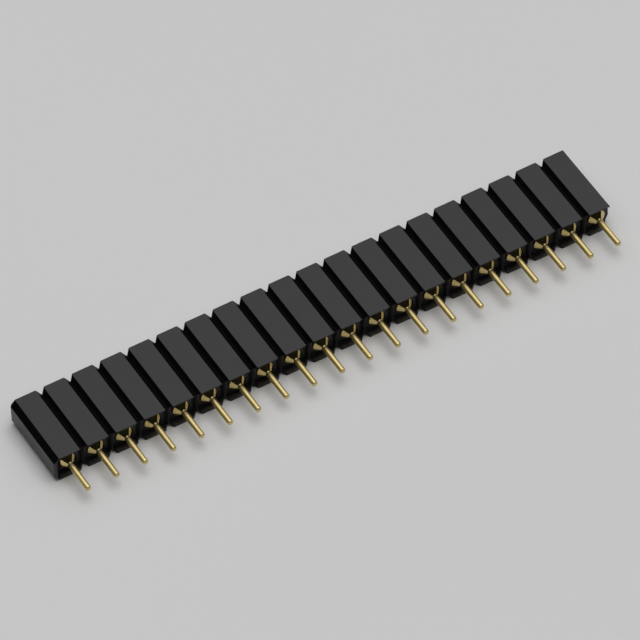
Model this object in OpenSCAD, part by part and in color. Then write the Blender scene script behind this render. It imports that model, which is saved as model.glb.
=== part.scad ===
// Single-row socket strip with turned contacts, lying on its long side.
// X runs along the row, Y from the tails to the sockets, Z up from the surface it lies on.
// The origin is at the middle of the bottom of its bounding box.

/* [Row] */
// Number of contacts along the row
contacts = 20; // [2:1:28]
// Distance between the axes of neighbouring contacts
pitch = 2.54; // [2.4:0.02:3]

/* [Housing] */
// Thickness of the moulding, between its two grooved long sides
body_thick = 2.54; // [2.4:0.02:3]
// Depth of the moulding, from the tail side to the socket side
body_depth = 7.1; // [7:0.05:10]
// Depth of the snap grooves on the long sides, which is also their half width
side_groove = 0.34; // [0.15:0.005:0.45]
// Depth of the snap grooves across the tail side and the socket side, which is also their half width
face_groove = 0.39; // [0.1:0.01:0.42]
// Depth of the hollow around each tail
hollow_depth = 0.6; // [0.5:0.01:1]
// Width of the rim around each hollow
rim_width = 0.15; // [0.1:0.01:0.25]
// Distance from the first contact's axis to the moulded end
end_reach = 1.405; // [1.2:0.005:2]
// Bevel of the moulded end's long edges
end_bevel = 0.48; // [0.1:0.01:0.6]
// Bevel of the moulded end's short edges
end_short_bevel = 0.12; // [0.05:0.01:0.4]

/* [Socket side] */
// Radius of the entry hole of each socket
entry_r = 0.35; // [0.3:0.01:0.4]
// Depth of the straight part of each entry hole
entry_depth = 0.4; // [0.2:0.05:0.8]
// Radius of the lead-in cone at the face
lead_r = 0.8; // [0.6:0.01:0.9]
// Depth of the lead-in cone
lead_depth = 0.34; // [0.1:0.01:0.6]

/* [Broken end] */
// Distance from the last contact's axis to the break, at the underside
break_low = 0.94; // [0.85:0.01:1.1]
// Distance from the last contact's axis to the break's upright middle
break_middle = 1.17; // [1.1:0.01:1.25]
// Distance from the last contact's axis to the break, at the upper side
break_high = 0.94; // [0.85:0.01:1.1]
// Distance from the last contact's axis to the break, on the rim above the last hollow
break_rim = 0.99; // [0.85:0.01:1.1]
// Distance from the last contact's axis to the break, on the rim below the last hollow
break_sill = 0.7; // [0.5:0.01:1]
// Height above the underside at which the break leaves the underside's edge
bend_height = 0.36; // [0.1:0.01:0.6]
// Height above the underside at which the break turns upright
middle_low = 0.85; // [0.7:0.01:1.1]
// Height above the underside at which the break turns towards the upper side
middle_high = 2.05; // [1.5:0.01:2.2]

/* [Sleeve] */
// Radius of the bore in the housing that each sleeve is pressed into
bore_r = 0.77; // [0.75:0.01:0.85]
// Clearance between the sleeve and that bore
sleeve_gap = 0.01; // [0:0.005:0.03]
// Depth of the cone's base below the housing's tail side
cone_base = 0.42; // [0.3:0.01:0.5]
// How far the cone's foot stands out beyond the housing's tail side
cone_foot = 0.02; // [0:0.01:0.1]
// Nose radius between the cone and the tail
cone_fillet = 0.1; // [0.04:0.01:0.15]
// Radius of the solder tail
tail_r = 0.25; // [0.2:0.01:0.32]
// Length of the solder tail beyond the housing
tail_reach = 2.95; // [2:0.05:4]
// Radius of the rounded tip of the tail
tip_round = 0.14; // [0.03:0.01:0.18]
// Height of the collar behind the cone
collar_height = 0.6; // [0.3:0.05:1]
// Radius of the relief between the collar and the press ring
relief_r = 0.7; // [0.68:0.01:0.71]
// Length of the press ring at the mouth
ring_length = 1.2; // [0.8:0.05:1.8]
// Radius of the seat for the clip's ring
seat_r = 0.62; // [0.61:0.005:0.65]
// Radius of the drilled hole below the seat
drill_r = 0.58; // [0.57:0.005:0.6]
// Depth of the drilled hole from the mouth
drill_depth = 4; // [3.8:0.05:4.4]
// Half angle of the drill's point
drill_point = 59; // [45:1:80]

/* [Clip] */
// Wall of the clip's ring
clip_ring_wall = 0.08; // [0.07:0.01:0.09]
// Length of the clip's ring
clip_ring_length = 0.8; // [0.5:0.05:1.2]
// Wall of the spring fingers
finger_wall = 0.08; // [0.05:0.01:0.1]
// Length of the spring fingers down to where they grip
finger_length = 1.7; // [1.2:0.05:2]
// Radius between the fingers where they grip
grip_r = 0.2; // [0.15:0.01:0.25]
// Length of the flared finger ends
flare_length = 0.3; // [0.1:0.05:0.5]
// Number of slots cut right across the clip, each of which makes two fingers
slots = 2; // [2:1:3]
// Width of the slots between the fingers
slot_width = 0.12; // [0.08:0.01:0.16]
// Clearance between the clip and the sleeve
clip_gap = 0.01; // [0:0.005:0.02]

/* [Hidden] */
$fn = 48;
over = 0.5;                                   // how far cutters run past a face
span = (contacts - 1) * pitch;                // first axis to last axis
right_reach = max(break_low, break_middle, break_high);
first_x = (end_reach - right_reach - span) / 2;
last_x = first_x + span;
left_x = first_x - end_reach;
far_x = last_x + right_reach + over;          // past the broken end
axis_z = body_thick / 2;
tail_y = (tail_reach - body_depth) / 2;       // the housing's tail side
face_y = tail_y + body_depth;                 // the housing's socket side
tip_y = tail_y - tail_reach;
floor_y = tail_y + hollow_depth;              // the floor of the hollows
mouth_y = face_y - lead_depth - entry_depth;  // the shoulder that each sleeve seats on

function axis_x(i) = first_x + i * pitch;
function two_digits(i) = str(i < 10 ? "0" : "", i);
function names(word) = [for (i = [1:contacts]) str(word, "_", two_digits(i))];

// Extrudes an outline drawn in X and Z from y0 to y1.
module along_y(y0, y1) {
    translate([0, y1, 0]) rotate([90, 0, 0]) linear_extrude(y1 - y0) children();
}

// Extrudes an outline drawn in X and Y right through the housing's thickness.
module through_z() {
    translate([0, 0, -over]) linear_extrude(body_thick + 2 * over) children();
}

// Turns a profile of [radius, y] points about the axis of contact i.
module turned(i, profile) {
    translate([axis_x(i), 0, axis_z]) rotate([-90, 0, 0]) mirror([0, 1, 0])
        rotate_extrude() polygon(profile);
}

// Outline of the row: flat long sides with a V groove between neighbours, and a bevelled left end.
module row_outline() {
    upper = [for (i = [1:contacts - 1]) let (x = axis_x(i) - pitch / 2)
        each [[x - side_groove, body_thick], [x, body_thick - side_groove], [x + side_groove, body_thick]]];
    lower = [for (k = [len(upper) - 1:-1:0]) [upper[k].x, body_thick - upper[k].y]];
    polygon(concat(
        [[left_x, end_bevel], [left_x, body_thick - end_bevel], [left_x + end_bevel, body_thick]],
        upper,
        [[far_x, body_thick], [far_x, 0]],
        lower,
        [[left_x + end_bevel, 0]]
    ));
}

// The V grooves across the tail side and the socket side, between contact i and the one before it.
module face_grooves(i) {
    reach = face_groove + over;
    translate([axis_x(i) - pitch / 2, 0]) through_z() {
        translate([0, tail_y]) polygon([[-reach, -over], [reach, -over], [0, face_groove]]);
        translate([0, face_y]) polygon([[-reach, over], [0, -face_groove], [reach, over]]);
    }
}

// The bevels on the moulded end's two short edges.
module end_bevels() {
    reach = end_short_bevel + over;
    through_z() {
        translate([left_x, tail_y]) polygon([[-over, -over], [reach, -over], [-over, reach]]);
        translate([left_x, face_y]) polygon([[-over, over], [-over, -reach], [reach, over]]);
    }
}

// The eight-sided hollow around the tail of contact i, which leaves an even rim.
module hollow(i) {
    half_w = pitch / 2 - rim_width;
    half_t = body_thick / 2 - rim_width;
    corner = side_groove - rim_width * (2 - sqrt(2));
    along_y(tail_y - over, floor_y) translate([axis_x(i), axis_z]) polygon([
        [corner - half_w, -half_t], [half_w - corner, -half_t], [half_w, corner - half_t],
        [half_w, half_t - corner], [half_w - corner, half_t], [corner - half_w, half_t],
        [-half_w, half_t - corner], [-half_w, corner - half_t]
    ]);
}

// The bore that holds the sleeve, its shoulder, the entry hole and the lead-in cone.
module socket_bore(i) {
    start_y = floor_y - over / 5;
    turned(i, [
        [0, start_y], [bore_r, start_y], [bore_r, mouth_y], [entry_r, mouth_y],
        [entry_r, face_y - lead_depth], [lead_r, face_y], [lead_r, face_y + over], [0, face_y + over]
    ]);
}

// What the break took away, the same all along the row's depth, and the last hollow's outer wall with it.
module beyond_break() {
    along_y(tail_y - over, face_y + over) polygon([
        [last_x + break_low, -over], [last_x + break_low, bend_height], [last_x + break_middle, middle_low],
        [last_x + break_middle, middle_high], [last_x + break_high, body_thick],
        [last_x + break_high, body_thick + over], [far_x + over, body_thick + over], [far_x + over, -over]
    ]);
    along_y(tail_y - over, floor_y) polygon([
        [last_x + break_sill, -over], [last_x + break_sill, axis_z], [last_x + break_rim, axis_z],
        [last_x + break_rim, body_thick + over], [far_x + over, body_thick + over], [far_x + over, -over]
    ]);
}

module housing() {
    color("#1b1b1d") difference() {
        along_y(tail_y, face_y) row_outline();
        for (i = [1:contacts - 1]) face_grooves(i);
        for (i = [0:contacts - 1]) hollow(i);
        for (i = [0:contacts - 1]) socket_bore(i);
        end_bevels();
        beyond_break();
    }
}

// One turned contact sleeve: rounded tail, cone, collar, relief, press ring, and a drilled mouth.
module sleeve(i) {
    outer_r = bore_r - sleeve_gap;
    base_y = tail_y + cone_base;
    foot_y = tail_y - cone_foot;
    collar_y = base_y + collar_height;
    ring_y = mouth_y - ring_length;
    seat_y = mouth_y - clip_ring_length;
    drill_y = mouth_y - drill_depth;
    step = outer_r - relief_r;
    slope = atan((outer_r - tail_r) / (base_y - foot_y));
    nose_y = foot_y - cone_fillet * tan(slope / 2);
    tip = [for (a = [0:15:90]) [tail_r - tip_round * (1 - sin(a)), tip_y + tip_round * (1 - cos(a))]];
    nose = [for (a = [0:slope / 5:slope])
        [tail_r + cone_fillet * (1 - cos(a)), nose_y + cone_fillet * sin(a)]];
    color("#b8923e") turned(i, concat(
        [[0, tip_y]],
        tip,
        nose,
        [[outer_r, base_y], [outer_r, collar_y], [relief_r, collar_y + step], [relief_r, ring_y - step],
         [outer_r, ring_y], [outer_r, mouth_y], [seat_r, mouth_y], [seat_r, seat_y], [drill_r, seat_y],
         [drill_r, drill_y], [0, drill_y - drill_r / tan(drill_point)]]
    ));
}

// One spring clip: a ring on the sleeve's inner step, and fingers that close in on the pin.
module clip(i) {
    outer_r = seat_r - clip_gap;
    inner_r = outer_r - clip_ring_wall;
    finger_r = drill_r - 2 * clip_gap;
    ring_y = mouth_y - clip_ring_length;
    grip_y = ring_y - finger_length;
    end_y = grip_y - flare_length;
    slot_y = ring_y - finger_wall;
    slot_length = slot_y - end_y + over;
    color("#c39a43") difference() {
        turned(i, [
            [inner_r, mouth_y], [outer_r, mouth_y], [outer_r, ring_y], [finger_r, ring_y],
            [grip_r + finger_wall, grip_y], [grip_r + 2 * finger_wall, end_y], [grip_r + finger_wall, end_y],
            [grip_r, grip_y], [finger_r - finger_wall, ring_y], [inner_r, ring_y + finger_wall]
        ]);
        for (k = [0:slots - 1])
            translate([axis_x(i), slot_y - slot_length / 2, axis_z]) rotate([0, 45 + k * 180 / slots, 0])
                cube([2 * bore_r, slot_length, slot_width], center = true);
    }
}

housing();
for (i = [1:contacts]) {
    sleeve(i - 1);
    clip(i - 1);
}
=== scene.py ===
from math import cos, pi, radians, sin, tan

import bmesh
import bpy
from mathutils import Matrix, Vector


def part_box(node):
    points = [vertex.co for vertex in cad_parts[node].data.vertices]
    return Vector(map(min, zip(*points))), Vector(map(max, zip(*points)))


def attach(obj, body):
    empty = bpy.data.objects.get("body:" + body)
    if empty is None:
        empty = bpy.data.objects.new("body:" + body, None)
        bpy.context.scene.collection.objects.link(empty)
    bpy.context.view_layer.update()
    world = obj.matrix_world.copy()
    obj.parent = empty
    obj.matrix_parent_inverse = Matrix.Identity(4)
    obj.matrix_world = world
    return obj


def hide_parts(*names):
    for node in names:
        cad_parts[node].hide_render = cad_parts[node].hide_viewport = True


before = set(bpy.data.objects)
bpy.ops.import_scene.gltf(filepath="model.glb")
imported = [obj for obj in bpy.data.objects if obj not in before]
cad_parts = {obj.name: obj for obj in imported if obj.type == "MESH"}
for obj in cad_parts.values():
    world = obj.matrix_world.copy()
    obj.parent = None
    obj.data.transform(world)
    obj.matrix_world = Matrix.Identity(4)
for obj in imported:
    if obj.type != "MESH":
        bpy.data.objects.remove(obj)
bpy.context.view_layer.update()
scene = bpy.context.scene
mm = 0.001
print("frame loaded,", len(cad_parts), "nodes")

# The camera.
shot = {
    "azimuth": -28.652, "elevation": 48.519, "roll": -2.366,  # degrees
    "target": (0.03, 0.6, 1.27), "distance": 614.95,  # mm
    "lens": 439.15, "sensor": 36,  # mm
    "reach": 50,  # m
}


def makeCamera():
    turn, rise, roll = (radians(shot[name]) for name in ("azimuth", "elevation", "roll"))
    back = Vector((sin(turn) * cos(rise), -cos(turn) * cos(rise), sin(rise)))
    level = Vector((0, 0, 1)).cross(back).normalized()
    upright = back.cross(level)
    right = cos(roll) * level + sin(roll) * upright
    up = cos(roll) * upright - sin(roll) * level
    data = bpy.data.cameras.new("camera")
    data.sensor_width, data.lens, data.clip_end = shot["sensor"], shot["lens"], shot["reach"]
    camera = bpy.data.objects.new("camera", data)
    place = Matrix((right, up, back)).transposed().to_4x4()
    place.translation = (Vector(shot["target"]) + back * shot["distance"]) * mm
    camera.matrix_world = place
    scene.collection.objects.link(camera)
    scene.camera = camera


makeCamera()
print("camera placed")


# A socket of a node, with the sums that shader maths needs.
class Wire:
    def __init__(self, bench, socket):
        self.bench, self.socket = bench, socket

    def other(self, name):
        return Wire(self.bench, self.socket.node.outputs[name])

    def __add__(self, b):
        return self.bench.sum("ADD", self, b)

    def __sub__(self, b):
        return self.bench.sum("SUBTRACT", self, b)

    def __mul__(self, b):
        return self.bench.sum("MULTIPLY", self, b)

    def __truediv__(self, b):
        return self.bench.sum("DIVIDE", self, b)

    def __rsub__(self, a):
        return self.bench.sum("SUBTRACT", a, self)

    def __rtruediv__(self, a):
        return self.bench.sum("DIVIDE", a, self)

    __radd__, __rmul__ = __add__, __mul__


# Adds nodes to one tree: settings first, then the values or links of the sockets.
class Bench:
    def __init__(self, tree):
        self.tree = tree

    def add(self, kind, settings=None, sockets=None, out=0):
        node = self.tree.nodes.new(kind)
        for name, value in (settings or {}).items():
            setattr(node, name, value)
        for key, value in (sockets or {}).items():
            socket = node.inputs[key] if isinstance(key, int) else next(
                s for s in node.inputs if s.name == key and s.enabled)
            for item in value if isinstance(value, list) else [value]:
                if isinstance(item, Wire):
                    self.tree.links.new(item.socket, socket)
                else:
                    socket.default_value = item
        return None if out is None else Wire(self, node.outputs[out])

    def sum(self, operation, *values):
        return self.add("ShaderNodeMath", {"operation": operation}, dict(enumerate(values)))

    def vector(self, x, y, z):
        return self.add("ShaderNodeCombineXYZ", None, {"X": x, "Y": y, "Z": z})


# The finishes of the housing, the sleeves and the clips, and of the housing's grooves, whose darker colour
# is painted shade.
plastic = {
    "dark": (0.0060, 0.0060, 0.0080, 1), "light": (0.0080, 0.0080, 0.0105, 1),
    "brokenColour": (0.010, 0.010, 0.011, 1),
    "roughness": 0.34, "cloudRoughness": 0.06, "grainRoughness": 0.05, "brokenRoughness": 0.45,
    "gloss": 0.5,
    "grain": 9.0, "cloud": 0.45, "brokenGrain": 3.2,  # per mm
    "grainHeight": 0.0012, "brokenHeight": 0.05, "brokenBlend": 0.03,  # mm
}
# In the grooves between the cells and on the end's long bevels the plastic gets painted shade: a
# near-black colour and less gloss.
grooveShadeValues = dict(plastic, dark=(0.0008, 0.0008, 0.0009, 1), light=(0.0012, 0.0012, 0.0013, 1),
                     roughness=0.24, gloss=0.15)
gold = {
    "pale": (0.70, 0.57, 0.27, 1), "deep": (0.62, 0.49, 0.21, 1),
    "roughness": 0.07, "tailRoughness": 0.3, "cloudRoughness": 0.05,
    "cloud": 1.6, "ringMarks": 22.0,  # per mm
    "ringHeight": 0.0003, "tailBlend": 0.06,  # mm
}
clipGold = dict(gold, pale=(0.66, 0.54, 0.26, 1), deep=(0.58, 0.46, 0.20, 1), roughness=0.16,
                ringMarks=9.0)


def startMaterial(name):
    material = bpy.data.materials.new(name)
    material.use_nodes = True
    material.node_tree.nodes.clear()
    bench = Bench(material.node_tree)
    place = bench.add("ShaderNodeTexCoord", None, None, "Object")
    place = bench.add("ShaderNodeMapping", None, {"Vector": place, "Scale": (1 / mm,) * 3})
    return material, bench, place


def noise(bench, place, scale, detail=2.0):
    return bench.add("ShaderNodeTexNoise", None, {"Vector": place, "Scale": scale, "Detail": detail})


def ramp(bench, value, low, high):
    return bench.add("ShaderNodeMapRange", {"interpolation_type": "SMOOTHSTEP"},
                     {"Value": value, "From Min": low, "From Max": high})


def blend(bench, factor, a, b):
    return bench.add("ShaderNodeMix", {"data_type": "RGBA"}, {"Factor": factor, "A": a, "B": b}, 2)


def endMaterial(bench, looks, bump=None, height=0):
    if bump is not None:
        looks["Normal"] = bench.add("ShaderNodeBump", None, {
            "Height": bump, "Distance": height * mm, "Strength": 1.0})
    shader = bench.add("ShaderNodeBsdfPrincipled", None, looks)
    bench.add("ShaderNodeOutputMaterial", None, {"Surface": shader}, None)


# Moulded plastic, which turns coarse and matt where it broke, from breakX on.
def plasticFinish(name, values, breakX):
    material, bench, place = startMaterial(name)
    along = bench.add("ShaderNodeSeparateXYZ", None, {"Vector": place})
    broken = ramp(bench, along, breakX - values["brokenBlend"], breakX)
    grain = noise(bench, place, values["grain"], detail=4.0)
    cloud = noise(bench, place, values["cloud"])
    chips = noise(bench, place, values["brokenGrain"], detail=6.0)
    colour = blend(bench, cloud, values["dark"], values["light"])
    colour = blend(bench, broken, colour, values["brokenColour"])
    rough = values["roughness"] + cloud * values["cloudRoughness"] + grain * values["grainRoughness"]
    rough = rough + broken * values["brokenRoughness"] * chips
    height = grain * (1 - broken) + chips * broken * (values["brokenHeight"] / values["grainHeight"])
    looks = {"Base Color": colour, "Roughness": rough, "Specular IOR Level": values["gloss"]}
    endMaterial(bench, looks, height, values["grainHeight"])
    return material


# Gold plating with faint marks of turning, and rougher before tailY.
def goldFinish(name, values, tailY):
    material, bench, place = startMaterial(name)
    along = bench.add("ShaderNodeSeparateXYZ", None, {"Vector": place}, "Y")
    rings = bench.add("ShaderNodeTexNoise", {"noise_dimensions": "1D"},
                      {"W": along, "Scale": values["ringMarks"], "Detail": 3.0})
    cloud = noise(bench, place, values["cloud"], detail=3.0)
    colour = blend(bench, cloud, values["pale"], values["deep"])
    tail = 1 - ramp(bench, along, tailY - values["tailBlend"], tailY)
    rough = values["roughness"] + cloud * values["cloudRoughness"] + tail * values["tailRoughness"]
    looks = {"Base Color": colour, "Roughness": rough, "Metallic": 1.0}
    endMaterial(bench, looks, rings, values["ringHeight"])
    return material


# Places taken from the frame, in mm.
def nodeBox(name):
    return [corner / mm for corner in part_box(name)]


sleeveNames = sorted(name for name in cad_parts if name.startswith("sleeve"))
clipNames = sorted(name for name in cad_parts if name.startswith("clip"))
firstLow, firstHigh = nodeBox(sleeveNames[0])
lastLow, lastHigh = nodeBox(sleeveNames[-1])
bodyLow, bodyHigh = nodeBox("housing")
row = {
    "contacts": len(sleeveNames),
    "firstX": (firstLow.x + firstHigh.x) / 2,
    "lastX": (lastLow.x + lastHigh.x) / 2,
    "axisZ": (bodyLow.z + bodyHigh.z) / 2,
    "tipY": firstLow.y, "mouthY": firstHigh.y,
    "tailY": bodyLow.y, "faceY": bodyHigh.y,
    "leftX": bodyLow.x, "thick": bodyHigh.z,
}
row["pitch"] = (row["lastX"] - row["firstX"]) / (row["contacts"] - 1)


# How meshes are cleaned and shaded.
meshing = {
    "weld": 0.0005,  # mm
    "flat": 0.3, "sharp": 32,  # degrees
}


# Meshes are made in mm.
def meshObject(name, points, edges=(), faces=()):
    mesh = bpy.data.meshes.new(name)
    mesh.from_pydata([Vector(p) for p in points], edges, faces)
    thing = bpy.data.objects.new(name, mesh)
    scene.collection.objects.link(thing)
    return thing


def drop(*things):
    for thing in things:
        bpy.data.objects.remove(thing)


# Rounds the corners of an open profile of (radius, y) points, each within share of its shorter side.
# A corner that bends less than the least bend, in degrees, or lies on the axis stays as it is.
def eased(profile, radius, steps=3, share=0.45, leastBend=14):
    points = [Vector(p) for p in profile]
    out = [points[0]]
    for before, here, after in zip(points, points[1:], points[2:]):
        back, ahead = before - here, after - here
        bend = pi - back.angle(ahead)
        if bend < radians(leastBend) or here.x == 0:
            out.append(here)
            continue
        cut = min(radius * tan(bend / 2), share * back.length, share * ahead.length)
        start, end = here + back.normalized() * cut, here + ahead.normalized() * cut
        for k in range(steps + 1):
            t = k / steps
            out.append((1 - t) ** 2 * start + 2 * t * (1 - t) * here + t ** 2 * end)
    return out + [points[-1]]


def profileObject(name, profile):
    return meshObject(name, [(p[0], p[1], 0) for p in profile],
                      edges=[(k, k + 1) for k in range(len(profile) - 1)])


def geometryTree(name, inputs):
    tree = bpy.data.node_groups.new(name, "GeometryNodeTree")
    for label, kind in {"Geometry": "Geometry", **inputs}.items():
        tree.interface.new_socket(label, in_out="INPUT", socket_type="NodeSocket" + kind)
    tree.interface.new_socket("Geometry", in_out="OUTPUT", socket_type="NodeSocketGeometry")
    bench = Bench(tree)
    source = bench.add("NodeGroupInput")
    return bench, source


def endTree(bench, geometry):
    output = bench.tree.nodes.new("NodeGroupOutput")
    bench.tree.links.new(geometry.socket, output.inputs[0])
    return bench.tree


# Turns a profile of (radius, y) points, joined in their order, about the Y axis.
def turnedTree():
    bench, source = geometryTree("turned form", {"Sides": "Int"})
    sides = source.other("Sides")
    count = bench.add("GeometryNodeAttributeDomainSize", {"component": "MESH"}, {"Geometry": source},
                      "Point Count")
    grid = bench.add("GeometryNodeMeshGrid", None,
                     {"Vertices X": count, "Vertices Y": sides + 1, "Size X": 1.0, "Size Y": 1.0})
    index = bench.add("GeometryNodeInputIndex")
    ring = bench.sum("FLOOR", (index + 0.5) / (sides + 1))
    angle = (index - ring * (sides + 1)) * (2 * pi) / sides
    position = bench.add("GeometryNodeInputPosition")
    point = bench.add("GeometryNodeSampleIndex", {"data_type": "FLOAT_VECTOR", "domain": "POINT"},
                      {"Geometry": source, "Value": position, "Index": ring})
    radius = bench.add("ShaderNodeSeparateXYZ", None, {"Vector": point})
    place = bench.vector(radius * bench.sum("COSINE", angle), radius.other("Y"),
                         radius * bench.sum("SINE", angle))
    turned = bench.add("GeometryNodeSetPosition", None, {"Geometry": grid, "Position": place})
    closed = bench.add("GeometryNodeMergeByDistance", None, {
        "Geometry": turned, "Distance": meshing["weld"]})
    return endTree(bench, closed)


# Copies a form along the row, one pitch apart.
def spread(bench, form, count, pitch, x, y, z):
    points = bench.add("GeometryNodeMeshLine", None, {
        "Count": count, "Start Location": bench.vector(x, y, z), "Offset": bench.vector(pitch, 0, 0)})
    instances = bench.add("GeometryNodeInstanceOnPoints", None, {"Points": points, "Instance": form})
    return bench.add("GeometryNodeRealizeInstances", None, {"Geometry": instances})


def coat(bench, geometry, material):
    return bench.add("GeometryNodeSetMaterial", None, {"Geometry": geometry, "Material": material})


# Runs a tree on a host object and returns the plain result as a new object, still in mm.
def grow(name, host, tree, values):
    modifier = host.modifiers.new(name, "NODES")
    modifier.node_group = tree
    for item in tree.interface.items_tree:
        if item.in_out == "INPUT" and item.name in values:
            modifier[item.identifier] = values[item.name]
    host.update_tag()
    graph = bpy.context.evaluated_depsgraph_get()
    graph.update()
    mesh = bpy.data.meshes.new_from_object(host.evaluated_get(graph), depsgraph=graph)
    mesh.name = name
    host.modifiers.clear()
    thing = bpy.data.objects.new(name, mesh)
    scene.collection.objects.link(thing)
    return thing


def applyModifiers(thing):
    graph = bpy.context.evaluated_depsgraph_get()
    mesh = bpy.data.meshes.new_from_object(thing.evaluated_get(graph), depsgraph=graph)
    thing.modifiers.clear()
    thing.data = mesh


def edit(thing, work):
    net = bmesh.new()
    net.from_mesh(thing.data)
    work(net)
    net.to_mesh(thing.data)
    net.free()


def weld(net):
    bmesh.ops.remove_doubles(net, verts=net.verts, dist=meshing["weld"])
    bmesh.ops.recalc_face_normals(net, faces=net.faces)


def flatten(net):
    weld(net)
    bmesh.ops.dissolve_limit(net, angle_limit=radians(meshing["flat"]), verts=net.verts, edges=net.edges)


# Puts a finished piece, made in mm, into the frame.
def install(thing, nodes):
    thing.data.transform(Matrix.Scale(mm, 4))
    thing.data.shade_smooth()
    thing.data.set_sharp_from_angle(angle=radians(meshing["sharp"]))
    even = thing.modifiers.new("even faces", "WEIGHTED_NORMAL")
    even.keep_sharp, even.weight = True, 100
    applyModifiers(thing)
    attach(thing, "root")
    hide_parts(*nodes)
    faces = len(thing.data.polygons)
    thing.data.calc_loop_triangles()
    print(thing.name, "made,", faces, "faces,", len(thing.data.loop_triangles), "triangles")


turnedForm = turnedTree()


def turnedFrom(bench, profile, sides):
    return bench.add("GeometryNodeGroup", {"node_tree": turnedForm}, {"Geometry": profile, "Sides": sides})


# The turned sleeves, in mm.
sleeve = {
    "tailR": 0.25, "tipRound": 0.14, "foot": 0.02, "fillet": 0.1, "coneBase": 0.42,
    "outerR": 0.76, "collar": 0.6, "reliefR": 0.7, "ring": 1.2,
    "seatR": 0.62, "seat": 0.8, "drillR": 0.58, "drill": 4.0, "ease": 0.03,
    "point": 59,  # degrees, half the angle of the drill's point
    "tipSteps": 6, "filletSteps": 5, "sides": 56,
}


# From the tip, over the cone and along the outside to the mouth, and back down the bore.
def sleeveProfile():
    s = sleeve
    base, foot = row["tailY"] + s["coneBase"], row["tailY"] - s["foot"]
    collar, mouth = base + s["collar"], row["mouthY"]
    ring, step = mouth - s["ring"], s["outerR"] - s["reliefR"]
    seat, bottom = mouth - s["seat"], mouth - s["drill"]
    point = bottom - s["drillR"] / tan(radians(s["point"]))
    turns = (k * pi / 2 / s["tipSteps"] for k in range(s["tipSteps"] + 1))
    tip = [(s["tailR"] - s["tipRound"] * (1 - sin(turn)), row["tipY"] + s["tipRound"] * (1 - cos(turn)))
           for turn in turns]
    flank = eased([tip[-1], (s["tailR"], foot), (s["outerR"], base)], s["fillet"], s["filletSteps"])
    rest = eased([
        flank[-2], (s["outerR"], base), (s["outerR"], collar), (s["reliefR"], collar + step),
        (s["reliefR"], ring - step), (s["outerR"], ring), (s["outerR"], mouth), (s["seatR"], mouth),
        (s["seatR"], seat), (s["drillR"], seat), (s["drillR"], bottom), (0, point)], s["ease"])
    return [(0, row["tipY"])] + tip + flank[1:-1] + rest[1:]


def sleeveTree(material):
    bench, source = geometryTree("contact row", {
        "Contacts": "Int", "Pitch": "Float", "First axis": "Float", "Axis height": "Float",
        "Sides": "Int"})
    read = source.other
    form = turnedFrom(bench, source, read("Sides"))
    solids = spread(bench, form, read("Contacts"), read("Pitch"), read("First axis"), 0,
                    read("Axis height"))
    return endTree(bench, coat(bench, solids, material))


def makeSleeves(material):
    host = profileObject("sleeve profile", sleeveProfile())
    piece = grow("turnedSleeves", host, sleeveTree(material), {
        "Contacts": row["contacts"], "Pitch": row["pitch"], "First axis": row["firstX"],
        "Axis height": row["axisZ"], "Sides": sleeve["sides"]})
    drop(host)
    edit(piece, weld)
    install(piece, sleeveNames)


makeSleeves(goldFinish("goldPlate", gold, row["tailY"]))

# The moulded housing, in mm. The break's places along X count from the last contact's axis.
housing = {
    "sideGroove": 0.34, "faceGroove": 0.39, "endBevel": 0.48, "shortBevel": 0.12,
    "hollow": 0.6, "rim": 0.15,
    "boreR": 0.77, "entryR": 0.35, "leadR": 0.8, "lead": 0.34,
    "breakLow": 0.94, "breakMiddle": 1.17, "breakHigh": 0.94, "breakRim": 0.99, "breakSill": 0.7,
    "bendHeight": 0.36, "middleLow": 0.85, "middleHigh": 2.05,
    "past": 1.0, "overlap": 0.1,  # how far cutters run past the block, and into one another
    "edge": 0.03, "edgeSteps": 2, "sides": 64,
    "roundFrom": 25,  # degrees, the least bend of an edge that is softened
}


# Runs an outline of (x, z) points along Y.
def prism(name, outline, start, end):
    count = len(outline)
    points = [(x, y, z) for y in (start, end) for x, z in outline]
    walls = [(k, (k + 1) % count, (k + 1) % count + count, k + count) for k in range(count)]
    caps = [tuple(reversed(range(count))), tuple(range(count, 2 * count))]
    thing = meshObject(name, points, faces=walls + caps)
    edit(thing, lambda net: bmesh.ops.recalc_face_normals(net, faces=net.faces))
    return thing


def rowBlock():
    h, thick, left, last = housing, row["thick"], row["leftX"], row["lastX"]
    outline = [
        (left, h["endBevel"]), (left, thick - h["endBevel"]), (left + h["endBevel"], thick),
        (last + h["breakHigh"], thick), (last + h["breakMiddle"], h["middleHigh"]),
        (last + h["breakMiddle"], h["middleLow"]), (last + h["breakLow"], h["bendHeight"]),
        (last + h["breakLow"], 0), (left + h["endBevel"], 0)]
    return prism("row block", outline, row["tailY"], row["faceY"])


# The outer wall of the last hollow, which came away with the break.
def lostWall():
    sill, rim = row["lastX"] + housing["breakSill"], row["lastX"] + housing["breakRim"]
    outer, middle = row["lastX"] + row["pitch"], row["axisZ"]
    low, high = -housing["past"], row["thick"] + housing["past"]
    outline = [(sill, low), (sill, middle), (rim, middle), (rim, high), (outer, high), (outer, low)]
    return prism("lost wall", outline, row["tailY"] - housing["past"], row["tailY"] + housing["hollow"])


def boreProfile():
    h, mouth, face = housing, row["mouthY"], row["faceY"]
    start, end = row["tailY"] + h["hollow"] - h["overlap"], face + h["past"]
    return [(0, start), (h["boreR"], start), (h["boreR"], mouth), (h["entryR"], mouth),
            (h["entryR"], face - h["lead"]), (h["leadR"], face), (h["leadR"], end), (0, end)]


# A long cutter of four sides, whose corner cuts a V groove as deep as it is half wide.
def diamondBar(bench, radius, start, end):
    line = bench.add("GeometryNodeCurvePrimitiveLine", None, {
        "Start": bench.vector(*start), "End": bench.vector(*end)})
    ring = bench.add("GeometryNodeCurvePrimitiveCircle", None, {"Resolution": 4, "Radius": radius})
    return bench.add("GeometryNodeCurveToMesh", None, {
        "Curve": line, "Profile Curve": ring, "Fill Caps": True})


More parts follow.
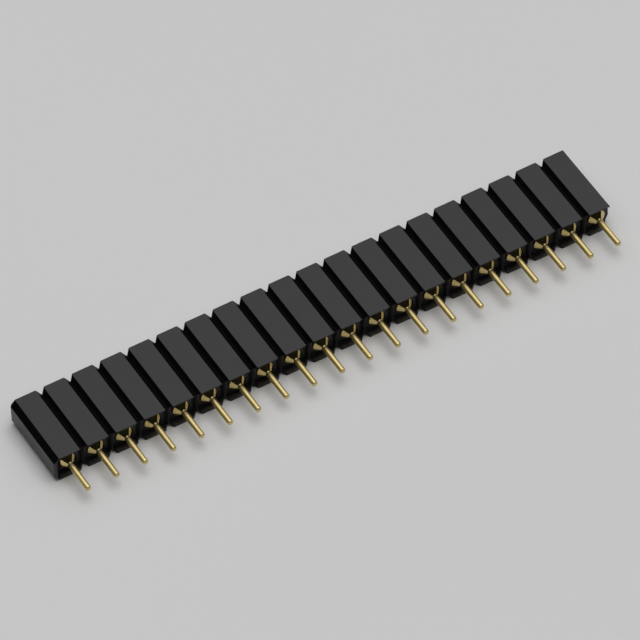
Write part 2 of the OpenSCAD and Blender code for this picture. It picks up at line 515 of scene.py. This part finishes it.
# The eight-sided hollow around a tail.
def hollowCutter(bench, read, past):
    outline = bench.add("GeometryNodeCurvePrimitiveQuadrilateral", {"mode": "RECTANGLE"},
                        {"Width": read("Hollow height"), "Height": read("Hollow width")})
    outline = bench.add("GeometryNodeFilletCurve", {"mode": "POLY"}, {
        "Curve": outline, "Radius": read("Hollow corner"), "Count": 1, "Limit Radius": True})
    tail = read("Tail side")
    line = bench.add("GeometryNodeCurvePrimitiveLine", None, {
        "Start": bench.vector(0, tail - past, 0), "End": bench.vector(0, tail + read("Hollow depth"), 0)})
    return bench.add("GeometryNodeCurveToMesh", None, {
        "Curve": line, "Profile Curve": outline, "Fill Caps": True})


def objectForm(bench, thing):
    return bench.add("GeometryNodeObjectInfo", {"transform_space": "ORIGINAL"}, {"Object": thing},
                     "Geometry")


def housingTree(material):
    bench, source = geometryTree("socket housing", {
        "Contacts": "Int", "Pitch": "Float", "First axis": "Float", "Left end": "Float",
        "Thickness": "Float", "Tail side": "Float", "Socket side": "Float",
        "Side groove": "Float", "Face groove": "Float", "Short bevel": "Float",
        "Hollow width": "Float", "Hollow height": "Float", "Hollow corner": "Float",
        "Hollow depth": "Float", "Lost wall": "Object", "Bore profile": "Object", "Sides": "Int"})
    read, past = source.other, housing["past"]
    count, pitch, first, thick = (
        read(name) for name in ("Contacts", "Pitch", "First axis", "Thickness"))
    tail, face, between = read("Tail side"), read("Socket side"), first + pitch / 2
    under, over = (0, 0, -past), (0, 0, thick + past)
    long = diamondBar(bench, read("Side groove"), (0, tail - past, 0), (0, face + past, 0))
    cross = diamondBar(bench, read("Face groove"), under, over)
    corner = diamondBar(bench, read("Short bevel"), under, over)
    cutters = [spread(bench, long, count - 1, pitch, between, 0, height) for height in (0, thick)]
    for side in (tail, face):
        cutters.append(spread(bench, cross, count - 1, pitch, between, side, 0))
        cutters.append(bench.add("GeometryNodeTransform", None, {
            "Geometry": corner, "Translation": bench.vector(read("Left end"), side, 0)}))
    bore = turnedFrom(bench, objectForm(bench, read("Bore profile")), read("Sides"))
    for form in (hollowCutter(bench, read, past), bore):
        cutters.append(spread(bench, form, count, pitch, first, 0, thick / 2))
    cutters.append(objectForm(bench, read("Lost wall")))
    body = source
    for cutter in cutters:
        body = bench.add("GeometryNodeMeshBoolean", {"operation": "DIFFERENCE", "solver": "MANIFOLD"},
                         {"Mesh 1": body, "Mesh 2": cutter})
    body = bench.add("GeometryNodeRealizeInstances", None, {"Geometry": body})
    return endTree(bench, coat(bench, body, material))


# True in the grooves between the cells and on the long bevels of the moulded end, where the painted shade
# goes.
def inPaintedShade(centre):
    h, slack = housing, 0.01
    along = (centre.x - row["firstX"]) / row["pitch"] - 0.5
    groove = round(along)
    off = abs(along - groove) * row["pitch"]
    deep = min(centre.z, row["thick"] - centre.z)
    side = min(centre.y - row["tailY"], row["faceY"] - centre.y)
    inward = centre.x - row["leftX"]
    bevel = slack < inward < h["endBevel"] - slack and slack < deep < h["endBevel"] - slack
    sideGroove = off < h["sideGroove"] - deep + slack and deep > slack
    faceGroove = off < h["faceGroove"] - side + slack and side > slack
    return bevel or 0 <= groove < row["contacts"] - 1 and (sideGroove or faceGroove)


def makeHousing(material, shadeMaterial):
    h = housing
    block, wall = rowBlock(), lostWall()
    bore = profileObject("bore profile", boreProfile())
    slant = h["sideGroove"] - h["rim"] * (2 - 2 ** 0.5)  # keeps the rim even beside the grooves
    piece = grow("mouldedHousing", block, housingTree(material), {
        "Contacts": row["contacts"], "Pitch": row["pitch"], "First axis": row["firstX"],
        "Left end": row["leftX"], "Thickness": row["thick"], "Tail side": row["tailY"],
        "Socket side": row["faceY"], "Side groove": h["sideGroove"], "Face groove": h["faceGroove"],
        "Short bevel": h["shortBevel"], "Hollow width": row["pitch"] - 2 * h["rim"],
        "Hollow height": row["thick"] - 2 * h["rim"],
        "Hollow corner": slant, "Hollow depth": h["hollow"],
        "Lost wall": wall, "Bore profile": bore, "Sides": h["sides"]})
    drop(block, wall, bore)
    edit(piece, flatten)
    bevel = piece.modifiers.new("soft edges", "BEVEL")
    bevel.limit_method, bevel.angle_limit = "ANGLE", radians(h["roundFrom"])
    bevel.width, bevel.segments, bevel.use_clamp_overlap = h["edge"], h["edgeSteps"], False
    applyModifiers(piece)
    piece.data.materials.clear()
    for finish in (material, shadeMaterial):
        piece.data.materials.append(finish)
    # Faces in the grooves and on the end's long bevels take the second finish, the painted shade.
    for face in piece.data.polygons:
        face.material_index = int(inPaintedShade(face.center))
    install(piece, ["housing"])


breakX = row["lastX"] + housing["breakLow"]
# The second finish paints shade into the grooves and onto the end's long bevels.
makeHousing(plasticFinish("blackPlastic", plastic, breakX),
            plasticFinish("paintedGrooveShade", grooveShadeValues, breakX))

# The spring clips keep their solids.
clipMaterial = goldFinish("clipGold", clipGold, row["tailY"])
for name in clipNames:
    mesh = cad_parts[name].data
    mesh.materials.clear()
    mesh.materials.append(clipMaterial)
print("clips finished,", len(clipNames))

# The studio: a round floor that curves up at its rim, two lamps and a faint even light.
studio = {
    "floorRadius": 1.3, "coveRadius": 0.2,  # m
    "coveAngle": 60,  # degrees
    "coveSteps": 8, "sides": 96,
    "floorColour": (0.69, 0.69, 0.69, 1), "floorRoughness": 0.9,
    "floorCloud": 0.02, "cloudShade": 0.98,  # per mm, a share of the colour
    "fill": 0.01,
}
# Each lamp's width, its lean from straight above and the way it leans, clockwise from +Y, in degrees.
broadLamp = {"strength": 1.5, "width": 112, "tilt": 14, "turn": 50}
keyLamp = {"strength": 1.1, "width": 50, "tilt": 11, "turn": 68}


def floorFinish():
    material, bench, place = startMaterial("floor")
    light = studio["floorColour"]
    shaded = tuple(studio["cloudShade"] * part for part in light)
    colour = blend(bench, noise(bench, place, studio["floorCloud"]), light, shaded)
    endMaterial(bench, {
        "Base Color": colour, "Roughness": studio["floorRoughness"], "Specular IOR Level": 0.0})
    return material


def makeFloor():
    s = studio
    turns = (radians(s["coveAngle"]) * k / s["coveSteps"] for k in range(s["coveSteps"] + 1))
    rim = [(s["floorRadius"] + s["coveRadius"] * sin(turn), s["coveRadius"] * (1 - cos(turn)))
           for turn in turns]
    sides, points = s["sides"], [(0, 0, 0)]
    for radius, z in rim:
        points += [(radius * cos(2 * pi * k / sides), radius * sin(2 * pi * k / sides), z)
                   for k in range(sides)]
    faces = [(0, 1 + k, 1 + (k + 1) % sides) for k in range(sides)]
    for ring in range(len(rim) - 1):
        a, b = 1 + ring * sides, 1 + (ring + 1) * sides
        faces += [(a + k, b + k, b + (k + 1) % sides, a + (k + 1) % sides) for k in range(sides)]
    floor = meshObject("floor", points, faces=faces)
    floor.data.shade_smooth()
    floor.data.materials.append(floorFinish())


def makeLight():
    for name, values in {"broad lamp": broadLamp, "key lamp": keyLamp}.items():
        lamp = bpy.data.lights.new(name, "SUN")
        lamp.energy, lamp.angle = values["strength"], radians(values["width"])
        holder = bpy.data.objects.new(name, lamp)
        holder.rotation_euler = (-radians(values["tilt"]), 0, -radians(values["turn"]))
        scene.collection.objects.link(holder)
    world = bpy.data.worlds.new("studio")
    world.use_nodes = True
    world.node_tree.nodes["Background"].inputs["Color"].default_value = (1, 1, 1, 1)
    world.node_tree.nodes["Background"].inputs["Strength"].default_value = studio["fill"]
    scene.world = world
    scene.view_settings.view_transform = "Standard"


makeFloor()
makeLight()
print("studio lit")
